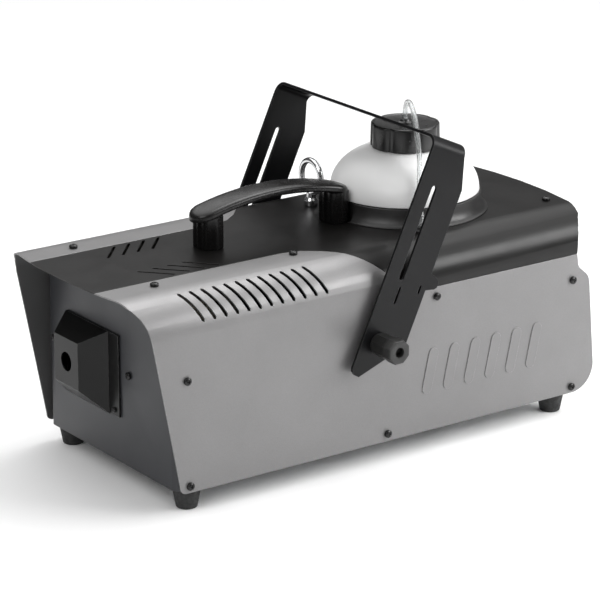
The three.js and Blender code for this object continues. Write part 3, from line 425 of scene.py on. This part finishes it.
def pipe(path, radius, bore, sides):
    """A hollow round tube along a path, kept from twisting, with its ends open."""
    side = None
    frames = []
    for i, point in enumerate(path):
        along = (path[min(i + 1, len(path) - 1)] - path[max(i - 1, 0)]).normalized()
        side = (side - along * side.dot(along)).normalized() if side else along.orthogonal().normalized()
        frames.append((point, side, along.cross(side)))
    outer = [circle(*axes, radius, sides) for axes in frames]
    inner = [circle(*axes, bore, sides) for axes in reversed(frames)]
    return closed_loft([*outer, *inner])


def about(axis, origin):
    """Turns local Z onto an axis and moves the local origin to a place."""
    return Matrix.Translation(origin) @ Z_AXIS.rotation_difference(Vector(axis)).to_matrix().to_4x4()


def piece(name, shape, slot, body, replaces=(), place=Matrix.Identity(4), sharp=40.0):
    """A new visible piece from (verts, faces) in millimetres, riding on a CAD body."""
    verts, faces = shape
    mesh = bpy.data.meshes.new(name)
    mesh.from_pydata([place @ (Vector(v) * MM) for v in verts], [], faces)
    mesh.validate()
    mesh.shade_smooth()
    mesh.set_sharp_from_angle(angle=math.radians(sharp))
    mesh.materials.append(MATERIALS[slot])
    made = bpy.data.objects.new(name, mesh)
    bpy.context.scene.collection.objects.link(made)
    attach(made, body)
    if replaces:
        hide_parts(*replaces)


def middle(node):
    low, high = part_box(node)
    return (low + high) / 2


# ---- CAD nodes: materials and smooth shading -------------------------------------------

WELD_DISTANCE = 1e-6
SMOOTH_BELOW = math.radians(24)


def smoothing_group():
    """Geometry nodes that weld a CAD mesh and shade it smooth wherever its faces nearly line up."""
    group = bpy.data.node_groups.new("weld_and_smooth", "GeometryNodeTree")
    group.interface.new_socket("Geometry", in_out="INPUT", socket_type="NodeSocketGeometry")
    group.interface.new_socket("Geometry", in_out="OUTPUT", socket_type="NodeSocketGeometry")
    nodes, links = group.nodes, group.links
    source = nodes.new("NodeGroupInput")
    result = nodes.new("NodeGroupOutput")
    bare = nodes.new("GeometryNodeRemoveAttribute")
    bare.inputs["Name"].default_value = "custom_normal"
    weld = nodes.new("GeometryNodeMergeByDistance")
    weld.inputs["Distance"].default_value = WELD_DISTANCE
    faces = nodes.new("GeometryNodeSetShadeSmooth")
    edges = nodes.new("GeometryNodeSetShadeSmooth")
    edges.domain = "EDGE"
    angle = nodes.new("GeometryNodeInputMeshEdgeAngle")
    gentle = nodes.new("FunctionNodeCompare")
    gentle.operation = "LESS_THAN"
    gentle.inputs["B"].default_value = SMOOTH_BELOW
    links.new(source.outputs[0], bare.inputs["Geometry"])
    links.new(bare.outputs["Geometry"], weld.inputs["Geometry"])
    links.new(weld.outputs["Geometry"], faces.inputs["Geometry"])
    links.new(faces.outputs["Geometry"], edges.inputs["Geometry"])
    links.new(angle.outputs["Unsigned Angle"], gentle.inputs["A"])
    links.new(gentle.outputs["Result"], edges.inputs["Shade Smooth"])
    links.new(edges.outputs["Geometry"], result.inputs[0])
    return group


def dress_cad_nodes():
    smoothing = smoothing_group()
    for name, node in NODES.items():
        node.material_slots[0].material = MATERIALS[SLOT_OF[name]]
        node.modifiers.new("smooth", "NODES").node_group = smoothing


# ---- feet ------------------------------------------------------------------------------


def make_feet():
    """Rubber buffers that widen upwards, with a recess for the fixing screw in the sole."""
    bore, recess, sole, top, height = 3.5, 4.6, 10.5, 14, 21.6
    outline = [(bore, 4), (bore, 3), (recess, 3), (recess, 0), (sole, 0), (top, 18.5), (top, height),
               (bore, height)]
    for end in ("front", "rear"):
        for side in ("right", "left"):
            node = f"foot_{end}_{side}"
            centre = middle(node)
            place = Matrix.Translation((centre.x, centre.y, 0))
            piece(f"rubber_{node}", lathe(fillet(outline, 1.6), 64), "foot_rubber", "machine", [node], place)


# ---- tank and collar -------------------------------------------------------------------

TANK = middle("fluid_tank")
TANK_AXIS = Matrix.Translation((TANK.x, TANK.y, 0))
RIM_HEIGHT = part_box("tank_collar")[1].z / MM
CAP_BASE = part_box("tank_cap")[0].z / MM
CAP_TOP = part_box("tank_cap")[1].z / MM
TANK_WALL = 2.5
NECK_WALL = 3
NECK_RADIUS = 27.4
DOME_STEPS = 24
DOME_POWER = 2.15       # the exponent of the superellipse that the shoulder follows


def make_tank():
    """Bottle with straight sides in the case, a domed shoulder above it, and a neck for the cap."""
    low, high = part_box("fluid_tank")
    rim = (high.x - low.x) / 2 / MM
    body = rim - 3.5
    base, neck_top = low.z / MM, high.z / MM
    dome_base, dome_top = RIM_HEIGHT + 1, CAP_BASE - 0.3
    outside, inside = [], []
    for i in range(DOME_STEPS + 1):
        z = dome_base + (dome_top - dome_base) * math.sin(math.pi / 2 * i / DOME_STEPS)
        rise = (z - RIM_HEIGHT) / (dome_top + 4 - RIM_HEIGHT)
        radius = rim * (1 - rise ** DOME_POWER) ** (1 / DOME_POWER)
        outside.append((radius, z))
        inside.append((radius - TANK_WALL, z - TANK_WALL))
    neck_bore = NECK_RADIUS - NECK_WALL
    profile = [
        *fillet([(2, base), (body, base), (body, RIM_HEIGHT + 0.5)], 8),
        *outside,
        *fillet([(NECK_RADIUS, dome_top), (NECK_RADIUS, neck_top), (neck_bore, neck_top),
                 (neck_bore, dome_top - TANK_WALL)], 0.8),
        *reversed(inside[:-1]),
        *fillet([(body - TANK_WALL, RIM_HEIGHT - 4), (body - TANK_WALL, base + TANK_WALL),
                 (2, base + TANK_WALL)], 6),
    ]
    piece("tank_shell", lathe(profile, 128), "tank_plastic", "machine", ["fluid_tank"], TANK_AXIS)


def make_collar():
    """Flared skirt from the cover up to a rim around the tank, with a flat behind the handle's leg."""
    low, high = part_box("tank_collar")
    base, flare = low.z / MM, high.x / MM
    bore, rim, bulge = 75.5, 79.4, 80.4
    steps = 9
    skirt = [(bore, base), (flare, base), (flare - 0.3, base + 1)]
    for i in range(1, steps):
        t = i / steps
        radius = (flare - 0.3) * (1 - t) ** 2 + bulge * 2 * t * (1 - t) + rim * t ** 2
        skirt.append((radius, base + 1 + (RIM_HEIGHT - base - 2.2) * t ** 1.5))
    skirt += fillet([(rim, RIM_HEIGHT - 1.2), (rim - 0.2, RIM_HEIGHT), (bore, RIM_HEIGHT), (bore, base)], 0.7)
    leg_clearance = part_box("carry_handle")[1].y / MM + 0.2 - TANK.y / MM
    verts, faces = lathe(skirt, 144)
    for vert in verts:
        if abs(vert.x) < 15 and vert.y < 0:
            vert.y = max(vert.y, leg_clearance)
    piece("collar_ring", (verts, faces), "collar_plastic", "machine", ["tank_collar"], TANK_AXIS)


# ---- cap and tube ----------------------------------------------------------------------

CAP_RADIUS = 36.2
CAP_LOBES = 7
CAP_LOBE_AT = math.radians(-39)     # where the middle of one lobe lies
LOBE_FALL = 2.5                     # millimetres lost per square radian away from a lobe's middle
VALLEY_WIDTH = 0.10                 # radians


def cap_outline(inset, depth):
    """The cap's radius by angle: broad lobes parted by narrow valleys."""
    step = 2 * math.pi / CAP_LOBES

    def radius_at(angle):
        off = (angle - CAP_LOBE_AT + step / 2) % step - step / 2
        valley = math.exp(-((abs(off) - step / 2) / VALLEY_WIDTH) ** 2)
        return CAP_RADIUS - inset - LOBE_FALL * off ** 2 - depth * valley
    return radius_at


def make_cap():
    """Screw cap with a flat top inside a thin rim, and the gland nut in its middle."""
    levels = [  # height, inset, depth of the valleys
        (CAP_BASE, 0.8, 1.4), (CAP_BASE + 0.5, 0.2, 1.7), (CAP_BASE + 1.2, 0, 1.8), (CAP_TOP - 2.2, 0.6, 1.8),
        (CAP_TOP - 1.1, 0.8, 1.7), (CAP_TOP - 0.35, 1.3, 1.4), (CAP_TOP, 2.1, 1.0), (CAP_TOP, 3.0, 0.6),
        (CAP_TOP - 0.3, 3.7, 0.3), (CAP_TOP - 0.9, 4.2, 0), (CAP_TOP - 1.1, 5.2, 0), (CAP_TOP - 1.1, 20, 0),
    ]
    rings = [ring(cap_outline(inset, depth), z, 210) for z, inset, depth in levels]
    piece("cap_shell", loft(rings), "cap_plastic", "cap", ["tank_cap"], TANK_AXIS)
    bore, flange, neck = 3.4, 8.2, 5.0
    nut = [(bore, CAP_TOP - 2), (flange, CAP_TOP - 2), (flange, CAP_TOP + 0.6), (5.6, CAP_TOP + 1.2),
           (neck, CAP_TOP + 3.3), (bore, CAP_TOP + 3.3)]
    piece("gland_nut", lathe(fillet(nut, 0.5), 48), "cap_plastic", "cap", ["cap_gland"], TANK_AXIS)


def make_tube():
    """Clear hose out of the gland, in an arch and down to its fitting on the cover."""
    low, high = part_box("pickup_tube")
    x, y = (middle("tube_fitting") / MM).xy
    axis_x, axis_y = TANK.x / MM, TANK.y / MM
    radius, bore = 2.8, 1.7
    top = high.z / MM - radius
    arch = [
        (axis_x, axis_y, low.z / MM), (axis_x, axis_y, 200), (axis_x, axis_y, 306),
        (axis_x - 0.2, axis_y, 315), (axis_x + 3, axis_y - 1.5, top - 4.6), (axis_x + 13, axis_y - 5, top),
        (axis_x + 25, axis_y - 9, top - 6), (axis_x + 36.5, axis_y - 14, top - 19),
        (axis_x + 50, axis_y - 21, top - 37), (axis_x + 58, axis_y - 25.5, top - 49),
        (axis_x + 66, axis_y - 32, top - 66), (axis_x + 75, axis_y - 38, top - 86),
        (x - 2, y + 2, 236), (x, y, 229), (x, y, 224), (x, y, 218),
    ]
    shape = pipe(smooth_path(arch, 8), radius, bore, 24)
    piece("fluid_tube", shape, "clear_tube", "machine", ["pickup_tube"], sharp=60)
    hole, shank, flange, neck = 3.4, 5, 6.6, 5.2
    body = [(hole, 204), (shank, 204), (shank, COVER_TOP), (flange, COVER_TOP), (flange, 221.6),
            (neck, 222.4), (neck, 225), (hole, 225)]
    piece("fitting_body", lathe(fillet(body, 0.5), 48), "black_plastic", "machine", ["tube_fitting"],
          Matrix.Translation((x * MM, y * MM, 0)))


# ---- handle ----------------------------------------------------------------------------

HANDLE_LOW, HANDLE_HIGH = (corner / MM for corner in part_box("carry_handle"))
HANDLE_HALF = HANDLE_HIGH.x
END_STEPS = 20          # points round a quarter turn at each end of the bar
SIDE_STEPS = 40
LEG_HALF = (16, 12.4)
LEG_AT = {"front": HANDLE_LOW.y + 19.5, "rear": HANDLE_HIGH.y - 13.7}
LEG_FLUTES = 8
FLUTE_DEPTH = 0.6


def handle_outline(inset):
    """The bar from above: its right side from the front tip to the rear tip, then its left side back."""
    radius = HANDLE_HALF - inset
    front, rear = HANDLE_LOW.y + HANDLE_HALF, HANDLE_HIGH.y - HANDLE_HALF
    turns = [math.pi / 2 * (i + 0.5) / END_STEPS for i in range(END_STEPS)]
    right = [(radius * math.sin(a), front - radius * math.cos(a)) for a in turns]
    right += [(radius, front + (rear - front) * i / SIDE_STEPS) for i in range(1, SIDE_STEPS)]
    right += [(radius * math.cos(a), rear + radius * math.sin(a)) for a in turns]
    return right + [(-x, y) for x, y in reversed(right)]


def underside(y):
    return 246 + 32 * bow(y)


def upper_side(y):
    return 255 + 30 * bow(y)


def bow(y):
    """The arch of the bar: 0 just past its ends, 0.5 in its middle."""
    t = (y - (HANDLE_LOW.y - 2)) / (HANDLE_HIGH.y - HANDLE_LOW.y + 4)
    return 2 * t * (1 - t)


def leg_outline(grow):
    """A rounded rectangle with shallow flutes, as a radius by angle."""
    def radius_at(angle):
        squared = (abs(math.cos(angle)) / LEG_HALF[0]) ** 3 + (abs(math.sin(angle)) / LEG_HALF[1]) ** 3
        flute = FLUTE_DEPTH * (math.cos(LEG_FLUTES * angle) - 1)
        return squared ** (-1 / 3) + flute + grow
    return radius_at


def make_handle():
    """Arched bar with rounded edges, on two fluted legs."""
    levels = [  # inset, the side that the height is taken from, and the height above it
        (3.0, underside, 0), (1.0, underside, 0.3), (0.2, underside, 1.0), (0, underside, 2.0),
        (0, upper_side, -4.4), (0.25, upper_side, -2.8), (0.9, upper_side, -1.5), (2.0, upper_side, -0.6),
        (3.8, upper_side, -0.1), (8.0, upper_side, 0.25),
    ]
    rings = []
    for inset, side, lift in levels:
        rings.append([Vector((x, y, side(y) + lift)) for x, y in handle_outline(inset)])
    piece("handle_bar", loft(rings, mirrored_ends=True), "handle_plastic", "machine", ["carry_handle"])
    foot = HANDLE_LOW.z
    for name, y in LEG_AT.items():
        rings = [ring(leg_outline(grow), z, 144) for z, grow in ((foot, -0.5), (foot + 0.6, 0), (252, 0))]
        piece(f"handle_leg_{name}", loft(rings), "handle_plastic", "machine",
              place=Matrix.Translation((0, y * MM, 0)))


# ---- lifting eye -----------------------------------------------------------------------


def make_eye():
    """Ring of round bar on a turned stem."""
    low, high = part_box("lifting_eye")
    bar, radius, steps = 3.3, 16.8, 64
    centre = Vector(((low.x + high.x) / 2, (low.y + high.y) / 2, high.z - (radius + bar) * MM))
    rings = []
    for i in range(steps):
        a = 2 * math.pi * i / steps
        outwards = Vector((math.sin(a), 0, math.cos(a)))
        rings.append(circle(outwards * radius, outwards, Y_AXIS, bar, 20))
    piece("eye_ring", closed_loft(rings), "bright_plating", "machine", ["lifting_eye"],
          Matrix.Translation(centre))
    shank, flange = 3.9, 7
    stem = [(1, 204), (shank, 204), (shank, COVER_TOP), (flange, COVER_TOP), (flange, 225), (5.2, 228),
            (4.8, 233.5), (2, 236)]
    piece("eye_stem", lathe(fillet(stem, 0.7), 48), "bright_plating", "machine",
          place=Matrix.Translation((centre.x, centre.y, 0)))


# ---- clamp knobs -----------------------------------------------------------------------

KNOB_LENGTH = 35
KNOB_FLAT = 12          # half the width across two flats
KNOB_ROUND = 12.4       # the radius that the eight sides soften towards


def knob_outline(scale, softness):
    """Eight flat sides, softened towards a circle, as a radius by angle."""
    def radius_at(angle):
        off = (angle + math.pi / 8) % (math.pi / 4) - math.pi / 8
        flat = KNOB_FLAT / math.cos(off)
        return scale * (flat * (1 - softness) + KNOB_ROUND * softness)
    return radius_at


def make_knobs():
    levels = [  # distance from the bracket, scale, softness
        (0, 0.80, 1), (0.6, 0.86, 1), (3.0, 0.86, 1), (3.3, 0.90, 0.4), (3.9, 0.93, 0.2), (20.5, 0.93, 0.2),
        (21.2, 0.95, 0.2), (21.8, 0.99, 0.1), (22.4, 1.0, 0.1), (33.4, 1.0, 0.1), (34.3, 0.98, 0.1),
        (34.9, 0.93, 0.2), (KNOB_LENGTH, 0.86, 0.3), (KNOB_LENGTH, 0.47, 1), (34.8, 0.42, 1), (34.2, 0.40, 1),
        (28.0, 0.38, 1),
    ]
    grip = loft([ring(knob_outline(scale, softness), out, 144) for out, scale, softness in levels])
    stud = lathe(fillet([(1, -20), (3.9, -20), (3.9, 0.5), (1, 0.5)], 0.5), 32)
    for side, sign in SIDES:
        node = f"clamp_knob_{side}"
        low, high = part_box(node)
        centre = middle(node)
        outer_end = high.x if sign > 0 else low.x
        start = Vector((outer_end - sign * KNOB_LENGTH * MM, centre.y, centre.z))
        place = about((sign, 0, 0), start)
        piece(f"knob_grip_{side}", grip, "knob_plastic", f"knob_{side}", [node], place, sharp=35)
        piece(f"knob_stud_{side}", stud, "bare_steel", f"knob_{side}", place=place)


# ---- screws ----------------------------------------------------------------------------

# Middles of the screws: along and up on the sides, across and up on the plates. Lengths count from the front.
SIDE_SCREWS = [(9, 137), (11, 29), (249, 30), (490, 29), (488, 147), (309, 164)]
PLATE_SCREWS = [(36, 118), (-104, 118)]
REAR_SCREWS = [(-114, 34), (114, 34), (-112, 190), (112, 190)]
SOCKET_FLANGE = 1.9     # how far the sockets' flanges stand off the rear panel
HEAD_STEPS = 18
HEAD_COUNT = 64


def pan_head(radius, height):
    """Low domed screw head with a cross recess, sitting on z = 0."""
    crown, crown_power = 0.38, 2.4
    arm_half, arm_length, recess = 0.14, 0.5, 0.45
    edge = ((0.94, 0), (1, 0.12), (1, 0.45))
    rings = [ring(lambda a, r=r: radius * r, height * z, HEAD_COUNT) for r, z in edge]
    for i in range(HEAD_STEPS):
        r = radius * (1 - i / HEAD_STEPS) * 0.995
        rings.append(ring(lambda a, r=r: r, 0, HEAD_COUNT))
    for level in rings[len(edge):]:
        for point in level:
            reach = math.hypot(point.x, point.y) / radius
            point.z = height * (1 - crown + crown * (1 - reach ** crown_power))
            arm, along = sorted((abs(point.x), abs(point.y)))
            if arm < arm_half * radius and along < arm_length * radius:
                point.z -= height * recess
    return loft(rings)


def add_screw(name, place, direction, radius, height, replaces=()):
    piece(name, pan_head(radius, height), "screw_coating", "machine", replaces, about(direction, place),
          sharp=50)


def make_screws():
    for end in ("front", "middle", "rear"):
        for side in ("right", "left"):
            node = f"cover_screw_{end}_{side}"
            centre = middle(node)
            place = (centre.x, centre.y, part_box("top_cover")[1].z)
            add_screw(f"head_{node}", place, Z_AXIS, 4.2, 4.2, [node])
    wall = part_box("top_cover")[1].x
    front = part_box("front_plate")[0].y
    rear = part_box("rear_panel")[1].y
    for i, (y, z) in enumerate(SIDE_SCREWS, 1):
        for side, sign in SIDES:
            place = (sign * wall, front + y * MM, z * MM)
            add_screw(f"side_screw_{side}_{i}", place, X_AXIS * sign, 4.0, 3.8)
    for i, (x, z) in enumerate(PLATE_SCREWS, 1):
        add_screw(f"plate_screw_{i}", (x * MM, front, z * MM), -Y_AXIS, 3.8, 3.6)
    low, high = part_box("nozzle_flange")
    add_screw("flange_screw_right", (high.x - 8 * MM, low.y, low.z + 6 * MM), -Y_AXIS, 2.8, 2.4)
    for i, (x, z) in enumerate(REAR_SCREWS, 1):
        add_screw(f"rear_screw_{i}", (x * MM, rear, z * MM), Y_AXIS, 3.6, 2.2)
    inset = 4 * MM
    for node in ("dmx_in", "dmx_out"):
        low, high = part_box(node)
        face = rear + SOCKET_FLANGE * MM
        corners = ((low.x + inset, high.z - inset), (high.x - inset, low.z + inset))
        for i, (x, z) in enumerate(corners, 1):
            add_screw(f"{node}_screw_{i}", (x, face, z), Y_AXIS, 1.9, 1.1)


# ---- stage -----------------------------------------------------------------------------

WORLD_STRENGTH = 0.12
FLOOR_REACH = 14


def make_floor():
    mesh = bpy.data.meshes.new("floor")
    corners = [(x * FLOOR_REACH, y * FLOOR_REACH, 0) for x, y in ((-1, -1), (1, -1), (1, 1), (-1, 1))]
    mesh.from_pydata(corners, [], [(0, 1, 2, 3)])
    paper = Finish("floor", (0.97, 0.97, 0.97), 0.8, Specular_IOR_Level=0.2)
    paper.tint((0.94, 0.94, 0.94), paper.spread(paper.noise(0.4, 3), 0, 0.5))
    mesh.materials.append(paper.material)
    floor = bpy.data.objects.new("floor", mesh)
    bpy.context.scene.collection.objects.link(floor)


def add_softbox(name, direction, distance, size, radiance, target=(0, 0.02, 0.12)):
    """A rectangular area light of a given brightness, facing a point on the machine."""
    data = bpy.data.lights.new(name, "AREA")
    data.shape = "RECTANGLE"
    data.size, data.size_y = size
    data.energy = radiance * math.pi * size[0] * size[1]
    light = bpy.data.objects.new(name, data)
    bpy.context.scene.collection.objects.link(light)
    away = Vector(direction).normalized()
    place = Matrix.Translation(Vector(target) + away * distance)
    light.matrix_world = place @ away.to_track_quat("Z", "Y").to_matrix().to_4x4()


def light_stage():
    world = bpy.data.worlds.new("studio")
    world.use_nodes = True
    background = world.node_tree.nodes["Background"]
    background.inputs["Color"].default_value = (1, 1, 1, 1)
    background.inputs["Strength"].default_value = WORLD_STRENGTH
    bpy.context.scene.world = world
    bpy.context.scene.view_settings.view_transform = "Standard"
    add_softbox("side_strip", (0.66, 0.55, 0.42), 1.25, (1.0, 0.5), 9, target=(0.1, 0.2, 0.2))
    add_softbox("top_strip", (-0.25, 0.65, 1.15), 1.35, (0.9, 0.5), 4.5, target=(0.1, -0.2, 0.2))
    add_softbox("ceiling", (-0.12, 0.2, 1), 3.4, (7.0, 7.0), 1.55)
    add_softbox("key", (0.3, -0.9, 0.7), 2.6, (1.5, 1.0), 4)


make_camera()
dress_cad_nodes()
make_feet()
make_tank()
make_collar()
make_cap()
make_tube()
make_handle()
make_eye()
make_knobs()
make_screws()
make_floor()
light_stage()
